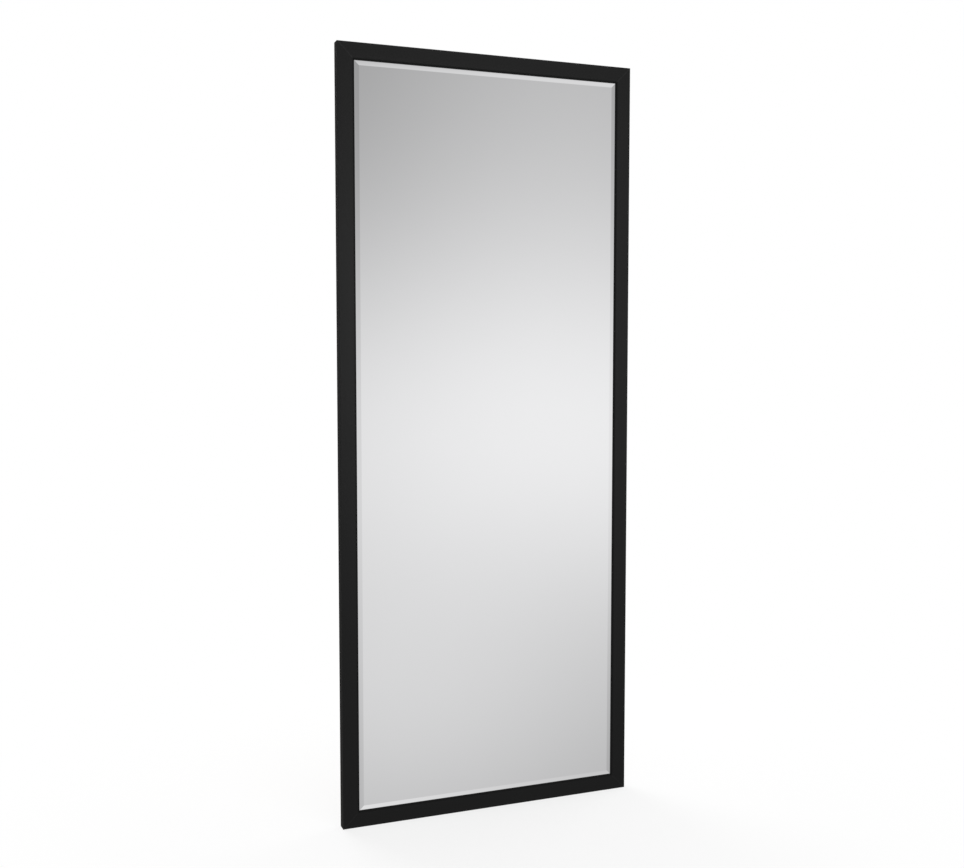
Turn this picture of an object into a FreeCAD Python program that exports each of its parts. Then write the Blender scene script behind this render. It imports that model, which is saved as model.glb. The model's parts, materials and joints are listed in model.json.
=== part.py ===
import FreeCAD, Part
import math
import os

# Full length mirror: a mitred moulding that holds bevelled glass, with its backing and hanging hardware.
# Millimetres. +Z is up, +X is to the right seen from the front, and the front faces -Y.
# The origin lies on the wall plane, under the middle of the bottom edge.

Vector = FreeCAD.Vector

# Frame, seen from the front
HEIGHT = 1715.0
WIDTH = 699.0
FACE_WIDTH = 37.5

# Moulding section
LIP_HEIGHT = 2.5
FACE_CROWN = 0.8
ARRIS_RADIUS = 2.0
SIGHT_RADIUS = 1.5

# Mirror glass and what lies behind it
GLASS_THICKNESS = 5.0
GLASS_EDGE = 3.6
BEVEL_WIDTH = 14.5
GLASS_OVERLAP = 4.0
GLASS_EDGE_GAP = 2.0
GLASS_SEAT_GAP = 0.2
COATING_THICKNESS = 0.2
CUSHION_THICKNESS = 8.0
BOARD_THICKNESS = 9.0
BOARD_EDGE_GAP = 1.0
BOARD_RECESS = 0.2

# Rubber blocks and spacers round the glass
BLOCK_LENGTH = 60.0
BLOCK_FROM_CORNER = 175.0
SPACER_LENGTH = 40.0
SIDE_SPACER_FROM_CORNER = 430.0
TOP_SPACER_FROM_CORNER = 175.0

# Wood screws
SCREW_HEAD_RADIUS = 3.3
SCREW_HEAD_HEIGHT = 2.0
SCREW_HEAD_SIDE = 0.7
SCREW_RADIUS = 1.6
SCREW_POINT = 3.0
SCREW_CLEARANCE = 0.05
PILOT_SPARE = 0.5
RECESS_LENGTH = 3.6
RECESS_WIDTH = 0.9
RECESS_DEPTH = 1.0
SHORT_SCREW = 14.0
LONG_SCREW = 18.0

# V-nails in the mitres
NAIL_WING = 6.0
NAIL_THICKNESS = 0.7
NAIL_DEPTH = 10.0
NAIL_SUNK = 0.3
NAIL_CLEARANCE = 0.05
NAIL_PITCH = 13.0

# Rounding of the rear edges of flat steel plates
PLATE_ROUND = 0.35

# Corner braces
BRACE_ARM = 64.0
BRACE_WIDTH = 16.0
BRACE_THICKNESS = 1.6
BRACE_END_RADIUS = 3.0
BRACE_HOLE_FROM_END = 8.0
BRACE_HOLE_PITCH = 28.0

# Turn buttons
BUTTON_WIDTH = 11.0
BUTTON_REACH = 21.0
BUTTON_THICKNESS = 1.2
BUTTON_SEAT_GAP = 0.1
BUTTON_HEAD_GAP = 0.1
BUTTON_PIN_CLEARANCE = 0.08
BUTTON_FROM_RABBET = 9.0
BEAD_WIDTH = 3.0
BEAD_LENGTH = 9.0
BEAD_HEIGHT = 0.6
BEAD_ROUND = 0.5
BEAD_FROM_TIP = 2.5
STILE_BUTTON_PITCH = 560.0
STILE_BUTTONS = 3
RAIL_BUTTON_PITCH = 400.0
RAIL_BUTTONS = 2

# Strap hangers and their D-rings
WIRE_RADIUS = 1.5
RING_CLEARANCE = 0.08
RING_BEND = 3.5
RING_LEG = 8.0
RING_SIDE_GAP = 1.5
STRAP_SHEET = 1.2
STRAP_WIDTH = 14.0
STRAP_LENGTH = 42.0
STRAP_FOLD_ANGLE = 40.0
STRAP_HOLE_FROM_EYE = 14.0
STRAP_HOLE_PITCH = 18.0

# Wall bumpers
BUMPER_HEIGHT = 8.0
BUMPER_BASE_RADIUS = 9.0
BUMPER_TIP_RADIUS = 7.5
BUMPER_ROUND = 1.2
BUMPER_FLOOR = 4.0
BUMPER_BORE_GAP = 0.7
BUMPER_FROM_BRACE = 12.0

# Tools that cut right through reach this far past the surface
PAST = 5.0

# A quarter turn, and the share of a quarter arc's radius that its middle lies at along each leg
QUARTER_ANGLE = 90.0
DIAGONAL = math.cos(math.radians(QUARTER_ANGLE / 2))

# Widths worked out across the face
SIGHT_WIDTH = WIDTH - 2 * FACE_WIDTH
SIGHT_HEIGHT = HEIGHT - 2 * FACE_WIDTH
RABBET_WIDTH = GLASS_OVERLAP + GLASS_EDGE_GAP
LAND_WIDTH = FACE_WIDTH - RABBET_WIDTH
LAND_CENTRE = LAND_WIDTH / 2
GLASS_WIDTH = SIGHT_WIDTH + 2 * GLASS_OVERLAP
GLASS_HEIGHT = SIGHT_HEIGHT + 2 * GLASS_OVERLAP
GLASS_BOTTOM = FACE_WIDTH - GLASS_OVERLAP
BOARD_WIDTH = SIGHT_WIDTH + 2 * (RABBET_WIDTH - BOARD_EDGE_GAP)
BOARD_HEIGHT = SIGHT_HEIGHT + 2 * (RABBET_WIDTH - BOARD_EDGE_GAP)
BOARD_BOTTOM = LAND_WIDTH + BOARD_EDGE_GAP

# Depths worked out from the wall towards the front
BACK_Y = -BUMPER_HEIGHT
BOARD_REAR_Y = BACK_Y - BOARD_RECESS
BOARD_FRONT_Y = BOARD_REAR_Y - BOARD_THICKNESS
CUSHION_FRONT_Y = BOARD_FRONT_Y - CUSHION_THICKNESS
GLASS_REAR_Y = CUSHION_FRONT_Y - COATING_THICKNESS
GLASS_EDGE_Y = GLASS_REAR_Y - GLASS_EDGE
GLASS_FRONT_Y = GLASS_REAR_Y - GLASS_THICKNESS
BEVEL_SLOPE = (GLASS_THICKNESS - GLASS_EDGE) / BEVEL_WIDTH
RABBET_Y = GLASS_EDGE_Y - GLASS_OVERLAP * BEVEL_SLOPE - GLASS_SEAT_GAP
FACE_EDGE_Y = RABBET_Y - LIP_HEIGHT
FRONT_Y = FACE_EDGE_Y - FACE_CROWN

# Each side of the frame: the turn about Y that takes the left stile's frame to it, its length and its middle.
# In that frame the outer edge is x = 0, +X points inwards and z = 0 is the middle of the length.
SIDES = {
    "left": (0, HEIGHT, -WIDTH / 2, HEIGHT / 2),
    "top": (QUARTER_ANGLE, WIDTH, 0, HEIGHT),
    "right": (2 * QUARTER_ANGLE, HEIGHT, WIDTH / 2, HEIGHT / 2),
    "bottom": (-QUARTER_ANGLE, WIDTH, 0, 0),
}
MEMBERS = {"left": "left_stile", "top": "top_rail", "right": "right_stile", "bottom": "bottom_rail"}

# Each corner: the turn about Y that takes the bottom left corner's frame to it, and its place.
# In that frame the corner is the origin, and the two members run along +X and +Z.
CORNERS = {
    "bottom_left": (0, -WIDTH / 2, 0),
    "top_left": (QUARTER_ANGLE, -WIDTH / 2, HEIGHT),
    "top_right": (2 * QUARTER_ANGLE, WIDTH / 2, HEIGHT),
    "bottom_right": (-QUARTER_ANGLE, WIDTH / 2, 0),
}


def box(x0, x1, y0, y1, z0, z1):
    """A box between two values on each axis."""
    return Part.makeBox(x1 - x0, y1 - y0, z1 - z0, Vector(x0, y0, z0))


def rod(radius, y0, y1, x=0, z=0):
    """A cylinder along Y."""
    return Part.makeCylinder(radius, y1 - y0, Vector(x, y0, z), Vector(0, 1, 0))


def placed(shape, turn, x, z):
    """A copy of a shape, turned about Y and moved to a place on the frame."""
    copy = shape.copy()
    copy.rotate(Vector(0, 0, 0), Vector(0, 1, 0), turn)
    copy.translate(Vector(x, 0, z))
    return copy


def on_side(shape, side, along):
    """A copy of a shape made in a side's frame, moved along that side."""
    turn, _, x, z = SIDES[side]
    moved = shape.copy()
    moved.translate(Vector(0, 0, along))
    return placed(moved, turn, x, z)


def edges(points):
    """Straight edges from each point to the next."""
    return [Part.makeLine(a, b) for a, b in zip(points, points[1:])]


def arc(start, middle, end):
    """An arc through three points."""
    return Part.Arc(start, middle, end).toShape()


def prism(points, y0, y1):
    """The outline through (x, z) points, carried along Y."""
    corners = [Vector(x, y0, z) for x, z in points]
    face = Part.Face(Part.makePolygon(corners + corners[:1]))
    return face.extrude(Vector(0, y1 - y0, 0))


def turned(outline):
    """The solid of revolution of a closed outline about the Y axis."""
    return Part.Face(outline).revolve(Vector(0, 0, 0), Vector(0, 1, 0), 4 * QUARTER_ANGLE)


def pill(x0, x1, radius, y0, y1):
    """A plate with round ends centred on x0 and x1, carried along Y."""
    ends = rod(radius, y0, y1, x0).fuse(rod(radius, y0, y1, x1))
    return ends.fuse(box(x0, x1, y0, y1, -radius, radius)).removeSplitter()


def rounded_rear(plate, radius):
    """A plate with the edges of its rear face rounded."""
    rear = plate.BoundBox.YMax
    rim = [e for e in plate.Edges if e.BoundBox.YMin > rear - radius]
    return plate.makeFillet(radius, rim)


def section(z):
    """The moulding's section at height z, from the outer edge at x = 0 to the sight edge."""
    def at(x, y):
        return Vector(x, y, z)

    bow = 1 - DIAGONAL
    face_start = at(ARRIS_RADIUS, FACE_EDGE_Y)
    face_end = at(FACE_WIDTH - SIGHT_RADIUS, FACE_EDGE_Y)
    side_top = at(0, FACE_EDGE_Y + ARRIS_RADIUS)
    sight_top = at(FACE_WIDTH, FACE_EDGE_Y + SIGHT_RADIUS)
    arris = at(ARRIS_RADIUS * bow, FACE_EDGE_Y + ARRIS_RADIUS * bow)
    crown = at((face_start.x + face_end.x) / 2, FRONT_Y)
    sight = at(FACE_WIDTH - SIGHT_RADIUS * bow, FACE_EDGE_Y + SIGHT_RADIUS * bow)
    front = [
        arc(side_top, arris, face_start),
        arc(face_start, crown, face_end),
        arc(face_end, sight, sight_top),
    ]
    rear = edges([
        sight_top,
        at(FACE_WIDTH, RABBET_Y),
        at(LAND_WIDTH, RABBET_Y),
        at(LAND_WIDTH, BACK_Y),
        at(0, BACK_Y),
        side_top,
    ])
    return Part.Face(Part.Wire(front + rear))


def member(length):
    """A length of moulding in a side's frame, mitred at both ends."""
    half = length / 2
    bar = section(-half).extrude(Vector(0, 0, length))
    outside, inside = -PAST, FACE_WIDTH + PAST
    outline = [
        (outside, outside - half),
        (inside, inside - half),
        (inside, half - inside),
        (outside, half - outside),
    ]
    return bar.common(prism(outline, FRONT_Y - PAST, BACK_Y + PAST))


def wood_screw(seat_y, length, x, z):
    """A pan head screw driven towards the front, its head seated at seat_y."""
    top = Vector(0, SCREW_HEAD_HEIGHT, 0)
    rim = Vector(SCREW_HEAD_RADIUS, SCREW_HEAD_SIDE, 0)
    rise = SCREW_HEAD_HEIGHT - SCREW_HEAD_SIDE
    ball = (SCREW_HEAD_RADIUS ** 2 + rise ** 2) / (2 * rise)
    tilt = math.asin(SCREW_HEAD_RADIUS / ball) / 2
    dome = Vector(ball * math.sin(tilt), SCREW_HEAD_HEIGHT - ball + ball * math.cos(tilt), 0)
    profile = edges([
        top,
        Vector(0, -length, 0),
        Vector(SCREW_RADIUS, SCREW_POINT - length, 0),
        Vector(SCREW_RADIUS, 0, 0),
        Vector(SCREW_HEAD_RADIUS, 0, 0),
        rim,
    ])
    profile.append(arc(rim, dome, top))
    screw = turned(Part.Wire(profile))
    long, short = RECESS_LENGTH / 2, RECESS_WIDTH / 2
    floor, above = SCREW_HEAD_HEIGHT - RECESS_DEPTH, SCREW_HEAD_HEIGHT + PAST
    cross = [box(-long, long, floor, above, -short, short), box(-short, short, floor, above, -long, long)]
    screw = screw.cut(cross)
    screw.translate(Vector(x, seat_y, z))
    return screw


def pilot_hole(seat_y, length, x, z):
    """The hole in the frame that a screw goes into."""
    return rod(SCREW_RADIUS + SCREW_CLEARANCE, seat_y - length - PILOT_SPARE, BACK_Y + PAST, x, z)


def v_nail(clearance=0.0):
    """A V-nail in the bottom left corner's frame, with its two wings along the members."""
    half = NAIL_THICKNESS / 2 + clearance
    reach = NAIL_WING + clearance
    front, rear = BACK_Y - NAIL_SUNK - NAIL_DEPTH - clearance, BACK_Y - NAIL_SUNK
    if clearance:
        rear = BACK_Y + PAST
    along_x = box(-half, reach, front, rear, -half, half)
    along_z = box(-half, half, front, rear, -half, reach)
    return along_x.fuse(along_z).removeSplitter()


def corner_nails(clearance=0.0):
    """The V-nails of one corner, spaced along the mitre."""
    places = [LAND_CENTRE - NAIL_PITCH / 2, LAND_CENTRE + NAIL_PITCH / 2]
    return [placed(v_nail(clearance), 0, p, p) for p in places]


def brace_holes():
    """The (x, z) places of one brace's screws in its corner's frame."""
    centre = LAND_CENTRE
    far = centre - BRACE_WIDTH / 2 + BRACE_ARM - BRACE_HOLE_FROM_END
    places = [far, far - BRACE_HOLE_PITCH]
    return [(p, centre) for p in places] + [(centre, p) for p in places]


def corner_brace():
    """A flat steel L in the bottom left corner's frame, with four screw holes."""
    start = LAND_CENTRE - BRACE_WIDTH / 2
    inner, end = start + BRACE_WIDTH, start + BRACE_ARM
    outline = [(start, start), (end, start), (end, inner), (inner, inner), (inner, end), (start, end)]
    plate = prism(outline, BACK_Y, BACK_Y + BRACE_THICKNESS)
    through = [e for e in plate.Edges if e.BoundBox.YLength > BRACE_THICKNESS / 2]
    tips = [e for e in through if max(e.CenterOfMass.x, e.CenterOfMass.z) > end - BRACE_END_RADIUS]
    plate = rounded_rear(plate.makeFillet(BRACE_END_RADIUS, tips), PLATE_ROUND)
    radius = SCREW_RADIUS + SCREW_CLEARANCE
    return plate.cut([rod(radius, BACK_Y - PAST, BACK_Y + PAST, x, z) for x, z in brace_holes()])


BUTTON_REAR_Y = BACK_Y + BUTTON_SEAT_GAP + BUTTON_THICKNESS
BUTTON_PIVOT_X = LAND_WIDTH - BUTTON_FROM_RABBET


def turn_button():
    """A turn button in a side's frame, closed over the board, with a stiffening bead along its arm."""
    end = BUTTON_WIDTH / 2
    tip = BUTTON_PIVOT_X + BUTTON_REACH
    front = BACK_Y + BUTTON_SEAT_GAP
    plate = rounded_rear(pill(BUTTON_PIVOT_X, tip - end, end, front, BUTTON_REAR_Y), PLATE_ROUND)
    bead_end = tip - BEAD_FROM_TIP - BEAD_WIDTH / 2
    bead_start = bead_end - BEAD_LENGTH + BEAD_WIDTH
    bead = pill(bead_start, bead_end, BEAD_WIDTH / 2, front, BUTTON_REAR_Y + BEAD_HEIGHT)
    bead = rounded_rear(bead, BEAD_ROUND)
    hole = rod(SCREW_RADIUS + BUTTON_PIN_CLEARANCE, front - PAST, BUTTON_REAR_Y + PAST, BUTTON_PIVOT_X)
    return plate.fuse(bead).removeSplitter().cut(hole)


def spread(count, pitch):
    """Evenly spaced places about the middle."""
    return [(i - (count - 1) / 2) * pitch for i in range(count)]


EYE_BORE = WIRE_RADIUS + RING_CLEARANCE
EYE_RADIUS = EYE_BORE + STRAP_SHEET
RING_Y = BACK_Y + EYE_RADIUS
RING_HALF_WIDTH = STRAP_WIDTH / 2 + RING_SIDE_GAP + RING_BEND
STRAP_REAR_Y = BACK_Y + 2 * STRAP_SHEET
STRAP_HOLES = [-STRAP_HOLE_FROM_EYE, -STRAP_HOLE_FROM_EYE - STRAP_HOLE_PITCH]


def hanger_strap():
    """A strap folded double round the ring's bar, which lies along X through the origin's height."""
    half = STRAP_WIDTH / 2

    def at(y, z):
        return Vector(-half, y, z)

    lean = math.radians(STRAP_FOLD_ANGLE)
    fold = at(RING_Y + EYE_RADIUS * math.cos(lean), -EYE_RADIUS * math.sin(lean))
    drop = (EYE_RADIUS + (RING_Y - STRAP_REAR_Y) * math.cos(lean)) / math.sin(lean)
    outline = edges([
        at(BACK_Y, 0),
        at(BACK_Y, -STRAP_LENGTH),
        at(STRAP_REAR_Y, -STRAP_LENGTH),
        at(STRAP_REAR_Y, -drop),
        fold,
    ])
    outline.append(arc(fold, at(RING_Y, EYE_RADIUS), at(BACK_Y, 0)))
    strap = Part.Face(Part.Wire(outline)).extrude(Vector(STRAP_WIDTH, 0, 0))
    rear = RING_Y + EYE_RADIUS + PAST
    tongue = rod(half, BACK_Y - PAST, rear, 0, half - STRAP_LENGTH)
    tongue = tongue.fuse(box(-half, half, BACK_Y - PAST, rear, half - STRAP_LENGTH, EYE_RADIUS + PAST))
    bore = Part.makeCylinder(EYE_BORE, STRAP_WIDTH, Vector(-half, RING_Y, 0), Vector(1, 0, 0))
    screw_holes = [rod(SCREW_RADIUS + SCREW_CLEARANCE, BACK_Y - PAST, rear, 0, z) for z in STRAP_HOLES]
    return strap.common(tongue).cut([bore] + screw_holes)


def hanger_ring():
    """A D-ring of round wire, raised, with its straight bar along X in the strap's eye."""
    def at(x, z):
        return Vector(x, RING_Y, z)

    wide = RING_HALF_WIDTH
    straight = wide - RING_BEND
    bow = RING_BEND * (1 - DIAGONAL)
    path = [
        Part.makeLine(at(0, 0), at(straight, 0)),
        arc(at(straight, 0), at(wide - bow, bow), at(wide, RING_BEND)),
        Part.makeLine(at(wide, RING_BEND), at(wide, RING_LEG)),
        arc(at(wide, RING_LEG), at(0, RING_LEG + wide), at(-wide, RING_LEG)),
        Part.makeLine(at(-wide, RING_LEG), at(-wide, RING_BEND)),
        arc(at(-wide, RING_BEND), at(bow - wide, bow), at(-straight, 0)),
        Part.makeLine(at(-straight, 0), at(0, 0)),
    ]
    wire = Part.Wire(Part.makeCircle(WIRE_RADIUS, at(0, 0), Vector(1, 0, 0)))
    return Part.Wire(path).makePipe(Part.Face(wire))


# Each hanger: the turn about Y that points its ring up or to the right, and the place of its ring's bar.
# A stile's hanger is midway between two turn buttons, and a rail's midway from the middle to the right one.
STILE_HANGER_Z = HEIGHT / 2 + STILE_BUTTON_PITCH / 2
RAIL_HANGER_X = RAIL_BUTTON_PITCH / 4
HANGERS = {
    "left": (0, LAND_CENTRE - WIDTH / 2, STILE_HANGER_Z),
    "right": (0, WIDTH / 2 - LAND_CENTRE, STILE_HANGER_Z),
    "top": (QUARTER_ANGLE, RAIL_HANGER_X, HEIGHT - LAND_CENTRE),
    "bottom": (QUARTER_ANGLE, RAIL_HANGER_X, LAND_CENTRE),
}

BUMPER_SEAT_Y = BACK_Y + BUMPER_FLOOR
BUMPER_FROM_CORNER = LAND_CENTRE - BRACE_WIDTH / 2 + BRACE_ARM + BUMPER_FROM_BRACE + BUMPER_BASE_RADIUS


def wall_bumper():
    """A tapered rubber bumper along Y, bored for its screw, with the head sunk below its rear face."""
    profile = [
        Vector(0, BACK_Y, 0),
        Vector(BUMPER_BASE_RADIUS, BACK_Y, 0),
        Vector(BUMPER_TIP_RADIUS, 0, 0),
        Vector(0, 0, 0),
    ]
    body = turned(Part.makePolygon(profile + profile[:1]))
    rim = [e for e in body.Edges if e.BoundBox.YMin > -BUMPER_ROUND and e.Closed]
    body = body.makeFillet(BUMPER_ROUND, rim)
    well = rod(SCREW_HEAD_RADIUS + BUMPER_BORE_GAP, BUMPER_SEAT_Y, PAST)
    hole = rod(SCREW_RADIUS + SCREW_CLEARANCE, BACK_Y - PAST, PAST)
    return body.cut([well, hole])


def mirror_glass():
    """The glass: a flat slab with a ground bevel all round its front."""
    half, top = GLASS_WIDTH / 2, GLASS_BOTTOM + GLASS_HEIGHT
    slab = box(-half, half, GLASS_EDGE_Y, GLASS_REAR_Y, GLASS_BOTTOM, top)

    def outline(inset, y):
        left, right = inset - half, half - inset
        low, high = GLASS_BOTTOM + inset, top - inset
        corners = [Vector(left, y, low), Vector(right, y, low), Vector(right, y, high), Vector(left, y, high)]
        return Part.makePolygon(corners + corners[:1])

    bevel = Part.makeLoft([outline(0, GLASS_EDGE_Y), outline(BEVEL_WIDTH, GLASS_FRONT_Y)], True, True)
    return slab.fuse(bevel).removeSplitter()


def edge_pad(length):
    """A rubber pad in a side's frame, between the rabbet and the edge of the glass."""
    inside = LAND_WIDTH + GLASS_EDGE_GAP
    return box(LAND_WIDTH, inside, GLASS_EDGE_Y, GLASS_REAR_Y, -length / 2, length / 2)


def pads(side, length, from_corner):
    """Two pads on a side, each the same distance from its corner."""
    along = SIDES[side][1] / 2 - from_corner
    return [on_side(edge_pad(length), side, a) for a in (-along, along)]


nodes = {}
holes = []

# Corners: V-nails, braces and their screws
nails = []
brace_screws = []
for corner, (turn, x, z) in CORNERS.items():
    nodes["corner_brace_" + corner] = placed(corner_brace(), turn, x, z)
    nails += [placed(n, turn, x, z) for n in corner_nails()]
    holes += [placed(n, turn, x, z) for n in corner_nails(NAIL_CLEARANCE)]
    for px, pz in brace_holes():
        seat = (BACK_Y + BRACE_THICKNESS, SHORT_SCREW, px, pz)
        brace_screws.append(placed(wood_screw(*seat), turn, x, z))
        holes.append(placed(pilot_hole(*seat), turn, x, z))
nodes["v_nails"] = Part.makeCompound(nails)
nodes["corner_brace_screws"] = Part.makeCompound(brace_screws)

# Turn buttons, numbered upwards on the stiles and to the right on the rails
button_screws = []
for side in SIDES:
    if side in ("left", "right"):
        places = spread(STILE_BUTTONS, STILE_BUTTON_PITCH)
    else:
        places = spread(RAIL_BUTTONS, RAIL_BUTTON_PITCH)
    if side in ("right", "bottom"):
        places.reverse()
    for number, along in enumerate(places, 1):
        nodes[f"turn_button_{side}_{number}"] = on_side(turn_button(), side, along)
        seat = (BUTTON_REAR_Y + BUTTON_HEAD_GAP, SHORT_SCREW, BUTTON_PIVOT_X, 0)
        button_screws.append(on_side(wood_screw(*seat), side, along))
        holes.append(on_side(pilot_hole(*seat), side, along))
nodes["turn_button_screws"] = Part.makeCompound(button_screws)

# Strap hangers with their rings
hanger_screws = []
for side, (turn, x, z) in HANGERS.items():
    nodes["hanger_strap_" + side] = placed(hanger_strap(), turn, x, z)
    nodes["hanger_ring_" + side] = placed(hanger_ring(), turn, x, z)
    for down in STRAP_HOLES:
        seat = (STRAP_REAR_Y, SHORT_SCREW, 0, down)
        hanger_screws.append(placed(wood_screw(*seat), turn, x, z))
        holes.append(placed(pilot_hole(*seat), turn, x, z))
nodes["hanger_screws"] = Part.makeCompound(hanger_screws)

# Wall bumpers near the ends of the stiles
bumpers = []
bumper_screws = []
for side in ("left", "right"):
    reach = SIDES[side][1] / 2 - BUMPER_FROM_CORNER
    for along in (-reach, reach):
        seat = (BUMPER_SEAT_Y, LONG_SCREW, LAND_CENTRE, 0)
        bumpers.append(on_side(placed(wall_bumper(), 0, LAND_CENTRE, 0), side, along))
        bumper_screws.append(on_side(wood_screw(*seat), side, along))
        holes.append(on_side(pilot_hole(*seat), side, along))
nodes["wall_bumpers"] = Part.makeCompound(bumpers)
nodes["bumper_screws"] = Part.makeCompound(bumper_screws)

# The mitred moulding, with the holes for its fastenings
for side, name in MEMBERS.items():
    nodes[name] = on_side(member(SIDES[side][1]), side, 0).cut(holes)

# The glass and what is packed behind it
glass_top = GLASS_BOTTOM + GLASS_HEIGHT
half_glass = GLASS_WIDTH / 2
nodes["mirror_glass"] = mirror_glass()
nodes["silver_backing"] = box(-half_glass, half_glass, GLASS_REAR_Y, CUSHION_FRONT_Y, GLASS_BOTTOM, glass_top)
nodes["cushion_sheet"] = box(-half_glass, half_glass, CUSHION_FRONT_Y, BOARD_FRONT_Y, GLASS_BOTTOM, glass_top)
half_board = BOARD_WIDTH / 2
board_top = BOARD_BOTTOM + BOARD_HEIGHT
nodes["backing_board"] = box(-half_board, half_board, BOARD_FRONT_Y, BOARD_REAR_Y, BOARD_BOTTOM, board_top)

# Rubber pads round the glass
nodes["setting_blocks"] = Part.makeCompound(pads("bottom", BLOCK_LENGTH, BLOCK_FROM_CORNER))
spacers = pads("top", SPACER_LENGTH, TOP_SPACER_FROM_CORNER)
for side in ("left", "right"):
    spacers += pads(side, SPACER_LENGTH, SIDE_SPACER_FROM_CORNER)
nodes["edge_spacers"] = Part.makeCompound(spacers)

os.makedirs("parts", exist_ok=True)
for name, shape in nodes.items():
    shape.exportStep(os.path.join("parts", name + ".step"))
print(len(nodes), "nodes, frame depth", BACK_Y - FRONT_Y)
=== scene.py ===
"""Looks of a full length mirror: a satin black mitred frame round bevelled glass, its backing and hardware.

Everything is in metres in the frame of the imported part: +Z up, the glass faces -Y, the wall plane is y = 0.
"""
import json
import logging
import math
from dataclasses import dataclass, field
from enum import Enum, IntEnum
from typing import Any

import bpy
import numpy as np
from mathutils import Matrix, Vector

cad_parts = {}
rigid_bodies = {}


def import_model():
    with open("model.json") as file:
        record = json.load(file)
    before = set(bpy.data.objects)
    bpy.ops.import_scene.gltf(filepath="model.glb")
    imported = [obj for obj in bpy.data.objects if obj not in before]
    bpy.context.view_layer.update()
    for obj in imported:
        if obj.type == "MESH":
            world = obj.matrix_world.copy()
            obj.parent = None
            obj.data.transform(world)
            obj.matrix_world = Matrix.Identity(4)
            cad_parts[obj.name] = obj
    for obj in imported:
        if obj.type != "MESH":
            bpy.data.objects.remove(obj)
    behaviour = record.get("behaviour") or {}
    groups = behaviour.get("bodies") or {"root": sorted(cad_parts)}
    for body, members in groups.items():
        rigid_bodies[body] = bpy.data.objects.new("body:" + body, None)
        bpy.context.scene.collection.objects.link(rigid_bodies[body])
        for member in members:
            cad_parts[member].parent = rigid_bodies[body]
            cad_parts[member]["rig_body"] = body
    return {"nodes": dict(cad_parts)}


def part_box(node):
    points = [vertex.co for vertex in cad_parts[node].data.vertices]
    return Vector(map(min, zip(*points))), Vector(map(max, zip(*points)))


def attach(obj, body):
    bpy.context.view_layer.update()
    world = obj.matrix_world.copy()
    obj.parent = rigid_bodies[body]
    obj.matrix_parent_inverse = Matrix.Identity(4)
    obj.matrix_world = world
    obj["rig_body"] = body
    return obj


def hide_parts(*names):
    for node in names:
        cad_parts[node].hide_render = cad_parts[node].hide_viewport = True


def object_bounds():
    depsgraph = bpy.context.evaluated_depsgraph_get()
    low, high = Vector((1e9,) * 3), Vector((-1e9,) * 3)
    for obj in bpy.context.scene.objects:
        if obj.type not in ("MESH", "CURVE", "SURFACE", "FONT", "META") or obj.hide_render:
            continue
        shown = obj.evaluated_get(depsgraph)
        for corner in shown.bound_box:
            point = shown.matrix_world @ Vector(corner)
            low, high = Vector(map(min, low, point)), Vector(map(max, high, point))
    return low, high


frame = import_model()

CAD_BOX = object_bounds()
MM = 0.001
# The sRGB curve is a straight line up to the knee and a power above it.
SRGB_KNEE = 0.04045
SRGB_SLOPE = 12.92
SRGB_OFFSET = 0.055
SRGB_POWER = 2.4
# The wave texture turns by this many radians over one unit at a scale of 1.
WAVE_RADIANS = 20
WHITE = "#ffffff"
log = logging.getLogger("full_length_mirror")


class Slot(Enum):
    """The record's material slots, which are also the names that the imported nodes' materials have."""

    MOULDING = "black_moulding"
    GLASS = "mirror_glass"
    FILM = "backing_film"
    CARD = "corrugated_card"
    BOARD = "fibreboard"
    RUBBER = "black_rubber"
    PLATE = "zinc_plate"
    WIRE = "zinc_wire"
    SCREW = "bright_steel"


class Side(Enum):
    """The four sides of the frame, by the names of their members."""

    LEFT = "left_stile"
    TOP = "top_rail"
    RIGHT = "right_stile"
    BOTTOM = "bottom_rail"

    @property
    def upright(self) -> bool:
        """Whether the side runs along Z, as a stile does."""
        return self in (Side.LEFT, Side.RIGHT)


class WearAndPaintedLight(Enum):
    """How the lacquer differs over the moulding, as shares written on its points, painted light among them.
    """

    # the mitres rubbed lighter, and the outer arris drawn lighter as a painted highlight
    RUBBED = "rubbed"
    # painted shade: darker and darker towards the sight edge
    POOLED = "pooled"
    BARE = "bare"


class MixInput(IntEnum):
    """Numbers of the Mix node's inputs, which have the same names for plain numbers and for colours."""

    SHARE = 0
    NUMBER_A = 2
    NUMBER_B = 3
    COLOUR_A = 6
    COLOUR_B = 7


class MixOutput(IntEnum):
    """Numbers of the Mix node's outputs."""

    NUMBER = 0
    COLOUR = 2


# Small tools

def linear(colour: str) -> tuple[float, float, float, float]:
    """Turns an sRGB hex colour into the linear one that shaders take.

    Args:
        colour: six hex digits after a hash sign.

    Returns:
        Red, green, blue and an alpha of 1.
    """
    parts = np.array(list(bytes.fromhex(colour[1:]))) / 255
    curved = ((parts + SRGB_OFFSET) / (1 + SRGB_OFFSET)) ** SRGB_POWER
    values = np.where(parts <= SRGB_KNEE, parts / SRGB_SLOPE, curved)
    return (*values.tolist(), 1.0)


def repeats(size_mm: float) -> float:
    """The texture scale at which a pattern's features are about size_mm across."""
    return 1 / (size_mm * MM)


def add(
        tree: bpy.types.NodeTree,
        kind: str,
        inputs: dict[Any, Any] | None = None,
        **settings: Any) -> bpy.types.Node:
    """Adds a node with its settings and links.

    Args:
        tree: the node tree that gets it.
        kind: the node's type name.
        inputs: for each input, by name or number, an output to link or a value to set.
        settings: the node's own properties.

    Returns:
        The node.
    """
    node = tree.nodes.new(kind)
    for name, value in settings.items():
        setattr(node, name, value)
    for key, value in (inputs or {}).items():
        if isinstance(value, bpy.types.NodeSocket):
            tree.links.new(value, node.inputs[key])
        else:
            node.inputs[key].default_value = value
    return node


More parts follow.
